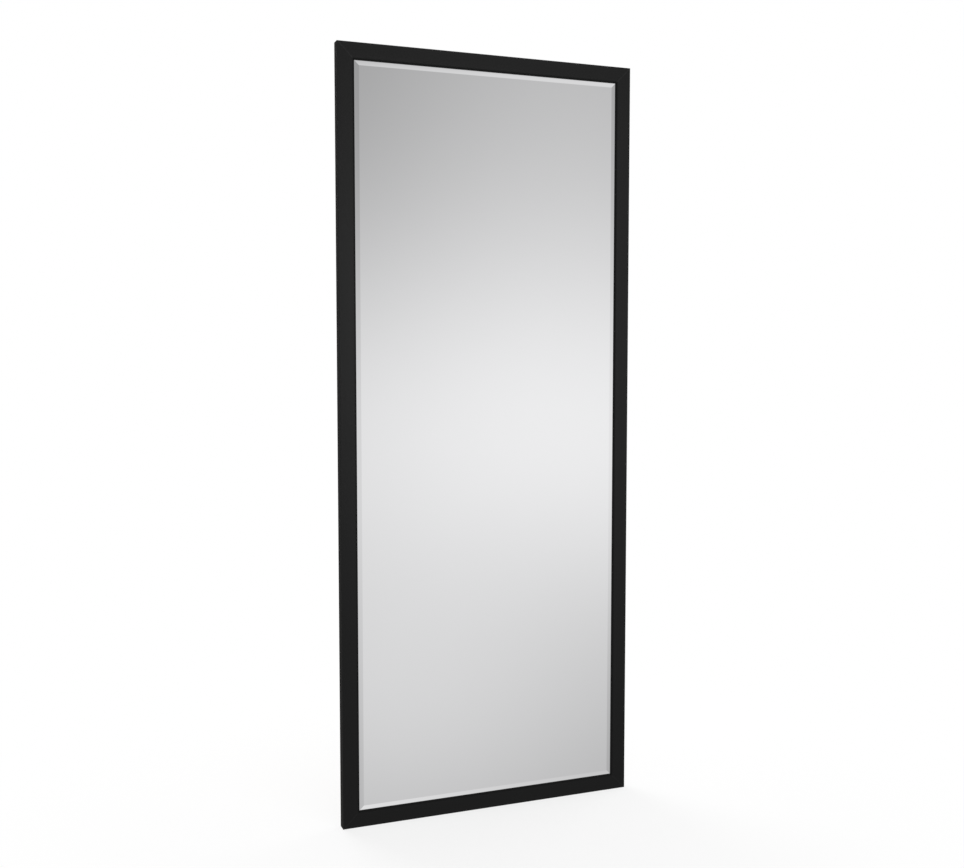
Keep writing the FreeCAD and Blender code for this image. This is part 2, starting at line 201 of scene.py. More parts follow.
def grid_faces(rows: int, columns: int) -> np.ndarray:
    """Quads of a grid whose points are numbered row by row and whose columns go round a loop.

    Args:
        rows: how many loops there are.
        columns: how many points a loop has.

    Returns:
        One row of four point numbers for each quad.
    """
    row = np.arange(rows - 1)[:, None] * columns
    column = np.arange(columns)[None, :]
    following = (column + 1) % columns
    quads = [row + column, row + following, row + columns + following, row + columns + column]
    return np.stack(quads, axis=-1).reshape(-1, 4)


def solid_of_loops(name: str, loops: np.ndarray, sharp_deg: float) -> bpy.types.Object:
    """A closed piece from a stack of loops: quads between the loops, and a flat face on the first and last.

    Args:
        name: the piece's name.
        loops: points as an array of loop, point on the loop, and axis, in metres.
        sharp_deg: edges that turn by more than this many degrees are shaded sharp.

    Returns:
        The object, at the origin, with its faces outwards.
    """
    rows, columns = loops.shape[:2]
    between = grid_faces(rows, columns)
    first = np.arange(columns)[::-1]
    last = np.arange(columns) + (rows - 1) * columns
    faces = between.tolist() + [first.tolist(), last.tolist()]
    points = loops.reshape(-1, 3)
    quads = points[between]
    # The cross product of a quad's diagonals points away from the middle where the quad faces outwards.
    spans = np.cross(quads[:, 2] - quads[:, 0], quads[:, 3] - quads[:, 1])
    if np.sum(spans * (quads.mean(axis=1) - points.mean(axis=0))) < 0:
        faces = [face[::-1] for face in faces]
    mesh = bpy.data.meshes.new(name)
    mesh.from_pydata(points.tolist(), [], faces)
    mesh.shade_smooth()
    mesh.set_sharp_from_angle(angle=math.radians(sharp_deg))
    mesh.validate()
    piece = bpy.data.objects.new(name, mesh)
    bpy.context.scene.collection.objects.link(piece)
    return piece


def quarter(centre: tuple[float, float], radius: float, start_deg: float, steps: int) -> np.ndarray:
    """Points on a quarter circle, turning from start_deg towards larger angles.

    Args:
        centre: the circle's middle.
        radius: its radius.
        start_deg: the angle of its first point, from the first axis towards the second.
        steps: how many points there are.

    Returns:
        The points, one on each row.
    """
    turn = np.radians(start_deg + np.linspace(0, 90, steps))
    return np.array(centre) + radius * np.stack([np.cos(turn), np.sin(turn)], axis=-1)


def mark(piece: bpy.types.Object, name: str, values: np.ndarray) -> None:
    """Writes a value for each point of a piece, which its material reads by name."""
    attribute = piece.data.attributes.new(name, "FLOAT", "POINT")
    attribute.data.foreach_set("value", values.astype(np.float32).ravel())


# Finishes

@dataclass(frozen=True)
class Recipe:
    """A material while a finish dresses it: its nodes, its shader and the coordinates of its patterns."""

    tree: bpy.types.NodeTree
    shader: bpy.types.Node
    place: bpy.types.NodeSocket

    def link(self, **sockets: bpy.types.NodeSocket) -> None:
        """Links outputs to the shader's inputs, named in lower case with _ for a space."""
        for name, output in sockets.items():
            self.tree.links.new(output, self.shader.inputs[name.replace("_", " ").title()])

    def coats(self, ground: str, *over: tuple[bpy.types.NodeSocket, str]) -> bpy.types.NodeSocket:
        """Lays colours over a ground, each of them covering what is below it by its own share.

        Args:
            ground: the colour below all the others.
            over: the share and the colour of each coat, from the lowest to the highest.

        Returns:
            The colour that shows.
        """
        shown: Any = linear(ground)
        for share, colour in over:
            shown = add(self.tree, "ShaderNodeMix", {
                MixInput.SHARE: share, MixInput.COLOUR_A: shown, MixInput.COLOUR_B: linear(colour)},
                data_type="RGBA").outputs[MixOutput.COLOUR]
        return shown


@dataclass(frozen=True)
class Finish:
    """What all finishes share: a name, and a material that the subclass dresses."""

    name: str

    def material(self) -> bpy.types.Material:
        """Makes the material.

        Returns:
            The new material.
        """
        made = bpy.data.materials.new(self.name)
        made.use_nodes = True
        tree = made.node_tree
        place = add(tree, "ShaderNodeTexCoord").outputs["Object"]
        self.dress(Recipe(tree, tree.nodes["Principled BSDF"], place))
        return made

    def dress(self, recipe: Recipe) -> None:
        """Adds the finish's own nodes.

        Args:
            recipe: the material to dress.
        """
        raise NotImplementedError


@dataclass(frozen=True)
class SatinLacquer(Finish):
    """Black lacquer sprayed over a primed wood moulding and left satin.

    It gives a deep black with a broad soft sheen, a fine orange peel, a trace of the grain below it, mitres
    that are rubbed a little lighter, an outer arris drawn lighter as a painted highlight, and painted shade
    as a darker line along the sight edge. The outer sides and the back have primer alone, which is flatter
    and a little browner.
    """

    upright: bool = True
    black: str = "#1f1f1f"
    worn_black: str = "#222222"
    # lighter colour: rubbing on the mitres, and a painted highlight on the outer arris
    rubbed: str = "#2e2e2e"
    # painted shade: the near-black line along the sight edge
    pooled: str = "#040404"
    primer: str = "#1b1a19"
    sheen_low: float = 0.36
    sheen_high: float = 0.46
    primer_roughness: float = 0.7
    ior: float = 1.47
    specular: float = 0.17
    mottle_mm: float = 150.0
    peel_mm: float = 2.4
    peel_depth_mm: float = 0.2
    peel_strength: float = 0.04
    grain_across_mm: float = 3.0
    grain_along_mm: float = 120.0
    grain_depth_mm: float = 0.3
    grain_strength: float = 0.05

    def dress(self, recipe: Recipe) -> None:
        """Adds the lacquer's mottle, rubbing, painted highlight, painted shade, sheen, peel and grain.

        Args:
            recipe: the material to dress.
        """
        tree, place = recipe.tree, recipe.place
        across, along = repeats(self.grain_across_mm), repeats(self.grain_along_mm)
        scale = (across, across, along) if self.upright else (along, across, across)
        rubbed, pooled, bare = (
            add(tree, "ShaderNodeAttribute", attribute_name=wear_and_light.value).outputs["Fac"] for wear_and_light in WearAndPaintedLight)
        mottle = add(tree, "ShaderNodeTexNoise", {
            "Vector": place, "Scale": repeats(self.mottle_mm), "Detail": 4.0}).outputs["Fac"]
        # The peel is drawn coarser than the tenths of a millimetre that it has, so that it shows.
        peel = add(tree, "ShaderNodeTexNoise", {
            "Vector": place, "Scale": repeats(self.peel_mm), "Detail": 2.0}).outputs["Fac"]
        stretched = add(tree, "ShaderNodeMapping", {"Vector": place, "Scale": scale}).outputs[0]
        grain = add(tree, "ShaderNodeTexNoise", {
            "Vector": stretched, "Scale": 1.0, "Detail": 5.0}).outputs["Fac"]
        # The lighter coat is rubbing on the mitres and a painted highlight on the outer arris; the near-black
        # coat is painted shade along the sight edge.
        colour = recipe.coats(
            self.black, (mottle, self.worn_black), (rubbed, self.rubbed), (pooled, self.pooled),
            (bare, self.primer))
        sheen = add(tree, "ShaderNodeMapRange", {
            "Value": mottle, "To Min": self.sheen_low, "To Max": self.sheen_high}).outputs[0]
        rough = add(tree, "ShaderNodeMix", {
            MixInput.SHARE: bare, MixInput.NUMBER_A: sheen,
            MixInput.NUMBER_B: self.primer_roughness}).outputs[MixOutput.NUMBER]
        peeled = add(tree, "ShaderNodeBump", {
            "Height": peel, "Strength": self.peel_strength, "Distance": self.peel_depth_mm * MM}).outputs[0]
        relief = add(tree, "ShaderNodeBump", {
            "Height": grain, "Normal": peeled, "Strength": self.grain_strength,
            "Distance": self.grain_depth_mm * MM}).outputs[0]
        recipe.link(base_color=colour, roughness=rough, normal=relief)
        recipe.shader.inputs["IOR"].default_value = self.ior
        recipe.shader.inputs["Specular IOR Level"].default_value = self.specular


@dataclass(frozen=True)
class SilveredGlass(Finish):
    """Float glass silvered behind: neutral, clear, and hazed a little where it was wiped."""

    silver: str = "#f1f1f2"
    wiped: str = "#f0f0f1"
    clear: float = 0.006
    hazed: float = 0.016
    wipe_mm: float = 180.0

    def dress(self, recipe: Recipe) -> None:
        """Adds the silver's colour and the wiped haze.

        Args:
            recipe: the material to dress.
        """
        tree, place = recipe.tree, recipe.place
        wipe = add(tree, "ShaderNodeTexNoise", {
            "Vector": place, "Scale": repeats(self.wipe_mm), "Detail": 3.0,
            "Distortion": 1.2}).outputs["Fac"]
        colour = recipe.coats(self.silver, (wipe, self.wiped))
        haze = add(tree, "ShaderNodeMapRange", {
            "Value": wipe, "To Min": self.clear, "To Max": self.hazed}).outputs[0]
        recipe.link(base_color=colour, roughness=haze)
        recipe.shader.inputs["Metallic"].default_value = 1.0


@dataclass(frozen=True)
class Fibreboard(Finish):
    """Pressed wood fibre: mid brown and mottled, with pale and dark fibres and a soft wax sheen."""

    brown: str = "#8d6a48"
    pale: str = "#a9855f"
    dark: str = "#63472f"
    roughness_low: float = 0.5
    roughness_high: float = 0.68
    mottle_mm: float = 90.0
    fibre_mm: float = 5.0
    fibre_from: float = 0.42
    fibre_to: float = 0.72
    fibre_depth_mm: float = 0.3
    fibre_strength: float = 0.25
    fleck_mm: float = 2.6
    fleck_from: float = 0.6
    fleck_to: float = 0.72
    fleck_most: float = 0.55

    def dress(self, recipe: Recipe) -> None:
        """Adds the mottle, the fibres and their relief.

        Args:
            recipe: the material to dress.
        """
        tree, place = recipe.tree, recipe.place
        mottle = add(tree, "ShaderNodeTexNoise", {
            "Vector": place, "Scale": repeats(self.mottle_mm), "Detail": 5.0,
            "Roughness": 0.6}).outputs["Fac"]
        fibre = add(tree, "ShaderNodeTexNoise", {
            "Vector": place, "Scale": repeats(self.fibre_mm), "Detail": 6.0, "Roughness": 0.65,
            "Distortion": 2.5}).outputs["Fac"]
        # Real flecks are under a millimetre wide: these are as coarse as they need to be to show.
        fleck = add(tree, "ShaderNodeTexNoise", {
            "Vector": place, "Scale": repeats(self.fleck_mm), "Detail": 2.0,
            "Distortion": 4.0}).outputs["Fac"]
        fibred = add(tree, "ShaderNodeMapRange", {
            "Value": fibre, "From Min": self.fibre_from, "From Max": self.fibre_to}).outputs[0]
        flecked = add(tree, "ShaderNodeMapRange", {
            "Value": fleck, "From Min": self.fleck_from, "From Max": self.fleck_to,
            "To Max": self.fleck_most}).outputs[0]
        colour = recipe.coats(self.brown, (mottle, self.pale), (fibred, self.pale), (flecked, self.dark))
        rough = add(tree, "ShaderNodeMapRange", {
            "Value": mottle, "To Min": self.roughness_low, "To Max": self.roughness_high}).outputs[0]
        relief = add(tree, "ShaderNodeBump", {
            "Height": fibre, "Strength": self.fibre_strength,
            "Distance": self.fibre_depth_mm * MM}).outputs[0]
        recipe.link(base_color=colour, roughness=rough, normal=relief)


@dataclass(frozen=True)
class Sheet(Finish):
    """A thin sheet with fine ribs: the safety film's weave, or the flutes that show through kraft card."""

    light: str = "#8e9296"
    dark: str = "#74787c"
    rib_mm: float = 1.2
    rib_depth_mm: float = 0.2
    rib_strength: float = 0.3
    ribs_in_blotch: float = 30.0
    roughness: float = 0.6

    def dress(self, recipe: Recipe) -> None:
        """Adds the ribs, as bands of colour and relief, and a slight blotch.

        Args:
            recipe: the material to dress.
        """
        tree, place = recipe.tree, recipe.place
        ribs = add(tree, "ShaderNodeTexWave", {
            "Vector": place, "Scale": repeats(self.rib_mm) * math.tau / WAVE_RADIANS, "Distortion": 0.4,
            "Detail": 2.0}).outputs["Fac"]
        blotch = add(tree, "ShaderNodeTexNoise", {
            "Vector": place, "Scale": repeats(self.ribs_in_blotch * self.rib_mm)}).outputs["Fac"]
        share = add(tree, "ShaderNodeMath", {0: ribs, 1: blotch}, operation="MULTIPLY").outputs[0]
        colour = recipe.coats(self.dark, (share, self.light))
        relief = add(tree, "ShaderNodeBump", {
            "Height": ribs, "Strength": self.rib_strength, "Distance": self.rib_depth_mm * MM}).outputs[0]
        recipe.link(base_color=colour, normal=relief)
        recipe.shader.inputs["Roughness"].default_value = self.roughness


@dataclass(frozen=True)
class Rubber(Finish):
    """Moulded black rubber: a dull charcoal with a fine speckle and a dusty bloom."""

    charcoal: str = "#191919"
    bloom: str = "#2c2c2b"
    roughness_low: float = 0.68
    roughness_high: float = 0.85
    bloom_mm: float = 9.0
    speckle_mm: float = 0.9
    speckle_depth_mm: float = 0.1
    speckle_strength: float = 0.2

    def dress(self, recipe: Recipe) -> None:
        """Adds the bloom and the speckle.

        Args:
            recipe: the material to dress.
        """
        tree, place = recipe.tree, recipe.place
        bloom = add(tree, "ShaderNodeTexNoise", {
            "Vector": place, "Scale": repeats(self.bloom_mm), "Detail": 4.0}).outputs["Fac"]
        speckle = add(tree, "ShaderNodeTexNoise", {
            "Vector": place, "Scale": repeats(self.speckle_mm), "Detail": 1.0}).outputs["Fac"]
        colour = recipe.coats(self.charcoal, (bloom, self.bloom))
        rough = add(tree, "ShaderNodeMapRange", {
            "Value": bloom, "To Min": self.roughness_low, "To Max": self.roughness_high}).outputs[0]
        relief = add(tree, "ShaderNodeBump", {
            "Height": speckle, "Strength": self.speckle_strength,
            "Distance": self.speckle_depth_mm * MM}).outputs[0]
        recipe.link(base_color=colour, roughness=rough, normal=relief)


@dataclass(frozen=True)
class PlatedSteel(Finish):
    """Zinc-plated steel: a cool grey metal with warm stains, dull clouds and fine bright scuffs."""

    cool: str = "#bcc3ca"
    warm: str = "#cbc4b1"
    dull: str = "#8f959b"
    scuffed: str = "#e3e5e7"
    roughness_low: float = 0.26
    roughness_high: float = 0.42
    stain_mm: float = 14.0
    stain_from: float = 0.4
    stain_to: float = 0.7
    cloud_mm: float = 5.0
    cloud_from: float = 0.42
    cloud_to: float = 0.7
    cloud_most: float = 0.45
    scuff_across_mm: float = 0.5
    scuff_along_mm: float = 12.0
    scuff_lean_deg: float = 35.0
    scuff_from: float = 0.6
    scuff_to: float = 0.72
    scuff_most: float = 0.5
    line_mm: float = 0.8
    line_depth_mm: float = 0.05
    line_strength: float = 0.08

    def dress(self, recipe: Recipe) -> None:
        """Adds the stains, the clouds, the scuffs and the forming lines.

        Args:
            recipe: the material to dress.
        """
        tree, place = recipe.tree, recipe.place
        stain = add(tree, "ShaderNodeTexNoise", {
            "Vector": place, "Scale": repeats(self.stain_mm), "Detail": 4.0,
            "Roughness": 0.6}).outputs["Fac"]
        cloud = add(tree, "ShaderNodeTexNoise", {
            "Vector": place, "Scale": repeats(self.cloud_mm), "Detail": 5.0}).outputs["Fac"]
        lines = add(tree, "ShaderNodeTexNoise", {
            "Vector": place, "Scale": repeats(self.line_mm), "Detail": 3.0}).outputs["Fac"]
        across, along = repeats(self.scuff_across_mm), repeats(self.scuff_along_mm)
        leant = add(tree, "ShaderNodeMapping", {
            "Vector": place, "Rotation": (0, math.radians(self.scuff_lean_deg), 0),
            "Scale": (across, across, along)}).outputs[0]
        scuff = add(tree, "ShaderNodeTexNoise", {"Vector": leant, "Scale": 1.0}).outputs["Fac"]
        stained = add(tree, "ShaderNodeMapRange", {
            "Value": stain, "From Min": self.stain_from, "From Max": self.stain_to}).outputs[0]
        clouded = add(tree, "ShaderNodeMapRange", {
            "Value": cloud, "From Min": self.cloud_from, "From Max": self.cloud_to,
            "To Max": self.cloud_most}).outputs[0]
        scuffed = add(tree, "ShaderNodeMapRange", {
            "Value": scuff, "From Min": self.scuff_from, "From Max": self.scuff_to,
            "To Max": self.scuff_most}).outputs[0]
        colour = recipe.coats(self.cool, (stained, self.warm), (clouded, self.dull), (scuffed, self.scuffed))
        rough = add(tree, "ShaderNodeMapRange", {
            "Value": lines, "To Min": self.roughness_low, "To Max": self.roughness_high}).outputs[0]
        relief = add(tree, "ShaderNodeBump", {
            "Height": lines, "Strength": self.line_strength, "Distance": self.line_depth_mm * MM}).outputs[0]
        recipe.link(base_color=colour, roughness=rough, normal=relief)
        recipe.shader.inputs["Metallic"].default_value = 1.0


# Sub-assemblies

@dataclass
class MitredFrame:
    """The four lengths of moulding that hold the glass, mitred at the corners.

    A member's surface is its section carried along its length. A point of the section at distance d from the
    outer edge starts and ends d short of the member's full length, so both ends are cut at 45 degrees.
    """

    arris_radius: float = 2 * MM
    sight_radius: float = 1.5 * MM
    crown: float = 0.8 * MM
    lip_height: float = 2.5 * MM
    rabbet_width: float = 6 * MM
    rear_arris: float = 0.6 * MM
    mitre_ease: float = 0.25 * MM
    mitre_rub: float = 2 * MM
    # how much of the lighter colour the outer arris gets, as a painted highlight
    arris_highlight_share: float = 0.5
    # painted shade along the sight edge: how far from it it starts, and where it is full
    shade_width: float = 5 * MM
    shade_deepest: float = 2.5 * MM
    arris_steps: int = 9
    crown_steps: int = 25
    sharp_deg: float = 30.0
    finishes: dict[bool, Finish] = field(default_factory=lambda: {
        True: SatinLacquer("satin_black_lacquer_stile", upright=True),
        False: SatinLacquer("satin_black_lacquer_rail", upright=False)})

    def section(self, width: float, front: float, back: float) -> np.ndarray:
        """The moulding's section as a closed loop of points, going round from the side of the outer edge.

        The face is an arc over the crown's height, with a quarter round at each edge, and the back has the
        rabbet.

        Args:
            width: the width of the face.
            front: y of the crown's top.
            back: y of the back.

        Returns:
            One row of distance from the outer edge, y, and the three shares of the lacquer in their order for
            each point. The lighter share is a painted highlight, most in the middle of the outer arris, the
            painted shade grows towards the sight edge until it is full, and all but the face and its rounded
            edges is bare.
        """
        edge = front + self.crown
        rabbet = edge + self.lip_height
        start, end = self.arris_radius, width - self.sight_radius
        half = (end - start) / 2
        bow = (half ** 2 + self.crown ** 2) / (2 * self.crown)
        across = np.linspace(start, end, self.crown_steps)[1:-1]
        face = np.stack([across, front + bow - np.sqrt(bow ** 2 - (across - start - half) ** 2)], axis=-1)
        arris = quarter((start, edge + start), start, 180, self.arris_steps)
        sight = quarter((end, edge + self.sight_radius), self.sight_radius, 270, self.arris_steps)
        land, ease = width - self.rabbet_width, self.rear_arris
        rear = np.array([
            (width, rabbet), (land, rabbet), (land, back - ease), (land - ease, back), (ease, back),
            (0, back - ease)])
        points = np.concatenate([arris, face, sight, rear])
        lacquered = slice(1, len(points) - len(rear) + 1)
        rubbed, pooled, bare = np.zeros((3, len(points)))
        # The outer arris is drawn lighter, a painted highlight.
        rubbed[:self.arris_steps] = self.arris_highlight_share * np.sin(np.linspace(0, np.pi, self.arris_steps))
        # Painted shade, darker and darker towards the sight edge.
        to_sight = width - points[lacquered, 0]
        fade = self.shade_width - self.shade_deepest
        pooled[lacquered] = np.clip((self.shade_width - to_sight) / fade, 0, 1)
        bare[:] = 1
        bare[lacquered] = 0
        return np.column_stack([points, rubbed, pooled, bare])

    def build(self, side: Side) -> bpy.types.Object:
        """Builds one member in the place of its node.

        It has three sections at each end: on the mitre itself one that is drawn in by the mitre's ease, then
        the full one just behind the ease, and the full one where the rubbing of the mitre ends.

        Args:
            side: which member.

        Returns:
            The piece, with the lacquer's shares written on its points.
        """
        low, high = (np.array(corner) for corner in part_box(side.value))
        axis, cross = (2, 0) if side.upright else (0, 2)
        half, middle = (high[axis] - low[axis]) / 2, (high[axis] + low[axis]) / 2
        outer, inward = (low[cross], 1) if side in (Side.LEFT, Side.BOTTOM) else (high[cross], -1)
        section = self.section(high[cross] - low[cross], CAD_BOX[0].y, high[1])
        points = section[:, :2]
        towards = points.mean(axis=0) - points
        drawn = points + self.mitre_ease * towards / np.linalg.norm(towards, axis=1, keepdims=True)
        profiles = np.stack([drawn, points, points, points, points, drawn])
        eased, rubbed = self.mitre_ease, self.mitre_ease + self.mitre_rub
        short = np.array([0, eased, rubbed, rubbed, eased, 0])[:, None]
        end = np.array([-1, -1, -1, 1, 1, 1])[:, None]
        loops = np.empty(profiles.shape[:2] + (3,))
        loops[..., axis] = middle + end * (half - profiles[..., 0] - short)
        loops[..., cross] = outer + inward * profiles[..., 0]
        loops[..., 1] = profiles[..., 1]
        piece = solid_of_loops(side.value + "_moulding", loops, self.sharp_deg)
        shares = {wear_and_light: np.tile(share, (len(profiles), 1)) for wear_and_light, share in zip(WearAndPaintedLight, section[:, 2:].T)}
        # The mitre ends get the lighter colour in full, as rubbing.
        shares[WearAndPaintedLight.RUBBED][[0, 1, -2, -1]] = 1
        for wear_and_light, share in shares.items():
            mark(piece, wear_and_light.value, share)
        return piece

    def make(self) -> None:
        """Builds and dresses all four members."""
        finishes = {upright: finish.material() for upright, finish in self.finishes.items()}
        for side in Side:
            piece = self.build(side)
            piece.data.materials.append(finishes[side.upright])
            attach(piece, frame["nodes"][side.value]["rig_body"])
            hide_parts(side.value)
            log.info("%s: %d faces", piece.name, len(piece.data.polygons))


@dataclass
class BevelledGlass:
    """The mirror glass: a flat plate with a ground bevel all round, silvered behind.

    Its surface is a profile of inset and depth carried round the plate's rectangle with sharp corners.
    Polishing leaves the bevel a little convex, so its slope grows steadily from its inner line to the edge.
    """

    node: str = "mirror_glass"
    bevel_width: float = 14.5 * MM
    edge_thickness: float = 3.6 * MM
    edge_arris: float = 0.4 * MM
    pillow: float = 0.22
    bevel_steps: int = 13
    sharp_deg: float = 2.0
    finish: Finish = SilveredGlass("silvered_float_glass")

    def profile(self, front: float, rear: float) -> np.ndarray:
        """Insets from the edge and depths, from the bevel's inner line round to the rear.

        The bevel falls by its whole drop times s + pillow * (s squared - s) at share s of its width.

        Args:
            front: y of the flat front.
            rear: y of the silvered back.

        Returns:
            One row of inset and y for each point.
        """
        share = np.linspace(0, 1, self.bevel_steps)
        drop = (rear - front) - self.edge_thickness
        fall = drop * (share + self.pillow * (share ** 2 - share))
        bevel = np.stack([self.bevel_width * (1 - share), front + fall], axis=-1)
        edge = [(0, rear - self.edge_arris), (self.edge_arris, rear)]
        return np.concatenate([bevel, np.array(edge)])

    def make(self) -> None:
        """Builds and dresses the glass."""
        low, high = (np.array(corner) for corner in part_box(self.node))
        profile = self.profile(low[1], high[1])
        inset = profile[:, :1]
        right = np.array([0, 1, 1, 0])[None, :]
        upper = np.array([0, 0, 1, 1])[None, :]
        loops = np.empty((len(profile), 4, 3))
        loops[..., 0] = low[0] + inset + right * (high[0] - low[0] - 2 * inset)
        loops[..., 1] = profile[:, 1:]
        loops[..., 2] = low[2] + inset + upper * (high[2] - low[2] - 2 * inset)
        piece = solid_of_loops("bevelled_mirror_glass", loops, self.sharp_deg)
        piece.data.materials.append(self.finish.material())
        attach(piece, frame["nodes"][self.node]["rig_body"])
        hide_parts(self.node)
        log.info("%s: %d faces", piece.name, len(piece.data.polygons))


@dataclass
class Hardware:
    """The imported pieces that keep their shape: backing, pads, fastenings, buttons, hangers and bumpers."""

    finishes: dict[Slot, Finish] = field(default_factory=lambda: {
        Slot.FILM: Sheet("grey_safety_film"),
        Slot.CARD: Sheet("fluted_kraft_card", light="#b3936c", dark="#92724d", rib_mm=7.0, roughness=0.8),
        Slot.BOARD: Fibreboard("pressed_fibreboard"),
        Slot.RUBBER: Rubber("moulded_black_rubber"),
        Slot.PLATE: PlatedSteel("zinc_plated_strip"),
        Slot.WIRE: PlatedSteel("zinc_plated_wire", roughness_low=0.2, roughness_high=0.34, stain_mm=8.0),
        Slot.SCREW: PlatedSteel("bright_plated_screws", cool="#cdd0d3", warm="#d2ccbc", stain_mm=5.0)})

    def make(self) -> None:
        """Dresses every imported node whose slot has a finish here."""
        materials = {slot.value: finish.material() for slot, finish in self.finishes.items()}
        for name, node in sorted(frame["nodes"].items()):
            slot = node.data.materials[0].name
            if slot in materials:
                node.data.materials[0] = materials[slot]
                log.info("%s: dressed as %s", name, materials[slot].name)


# The studio

@dataclass(frozen=True)
class Glow:
    """A bell-shaped light on the studio's walls, by direction seen from the glass, in degrees.

    Azimuth is from the glass's normal towards +X. The bell is e to minus half the squared distance from its
    middle, measured in its own width and height, with its axis leaning so that azimuth grows with elevation.
    """

    azimuth: float
    elevation: float
    width: float
    height: float
    strength: float
    lean: float = 0.0

    def nodes(
            self,
            tree: bpy.types.NodeTree,
            azimuth: bpy.types.NodeSocket,
            elevation: bpy.types.NodeSocket,
            under: bpy.types.NodeSocket) -> bpy.types.NodeSocket:
        """Adds the glow to the brightness below it.

        Args:
            tree: the world's nodes.
            azimuth: the ray's azimuth in radians.
            elevation: its elevation in radians.
            under: the brightness that the glow is added to.

        Returns:
            The two together.
        """
        over = add(tree, "ShaderNodeMath", {
            0: elevation, 1: math.radians(self.elevation)}, operation="SUBTRACT").outputs[0]
        aside = add(tree, "ShaderNodeMath", {
            0: azimuth, 1: math.radians(self.azimuth)}, operation="SUBTRACT").outputs[0]
        leant = add(tree, "ShaderNodeMath", {
            0: over, 1: -self.lean, 2: aside}, operation="MULTIPLY_ADD").outputs[0]
        flat = add(tree, "ShaderNodeCombineXYZ", {0: leant, 1: over}).outputs[0]
        widths = (math.radians(self.width), math.radians(self.height), 1.0)
        scaled = add(tree, "ShaderNodeVectorMath", {0: flat, 1: widths}, operation="DIVIDE").outputs[0]
        square = add(tree, "ShaderNodeVectorMath", {
            0: scaled, 1: scaled}, operation="DOT_PRODUCT").outputs["Value"]
        power = add(tree, "ShaderNodeMath", {0: square, 1: -0.5}, operation="MULTIPLY").outputs[0]
        bell = add(tree, "ShaderNodeMath", {0: power}, operation="EXPONENT").outputs[0]
        return add(tree, "ShaderNodeMath", {
            0: bell, 1: self.strength, 2: under}, operation="MULTIPLY_ADD").outputs[0]


@dataclass(frozen=True)
class SoftBox:
    """A square soft lamp that shows in nothing: its place, what it faces, its side and its power."""

    name: str
    place: tuple[float, float, float]
    target: tuple[float, float, float]
    side: float
    watts: float

    def make(self) -> None:
        """Adds the lamp."""
        data = bpy.data.lights.new(self.name, "AREA")
        data.shape, data.size, data.energy = "SQUARE", self.side, self.watts
        lamp = bpy.data.objects.new(self.name, data)
        lamp.location = self.place
        lamp.rotation_euler = (Vector(self.target) - lamp.location).to_track_quat("-Z", "Y").to_euler()
        lamp.visible_camera = lamp.visible_glossy = False
        bpy.context.scene.collection.objects.link(lamp)


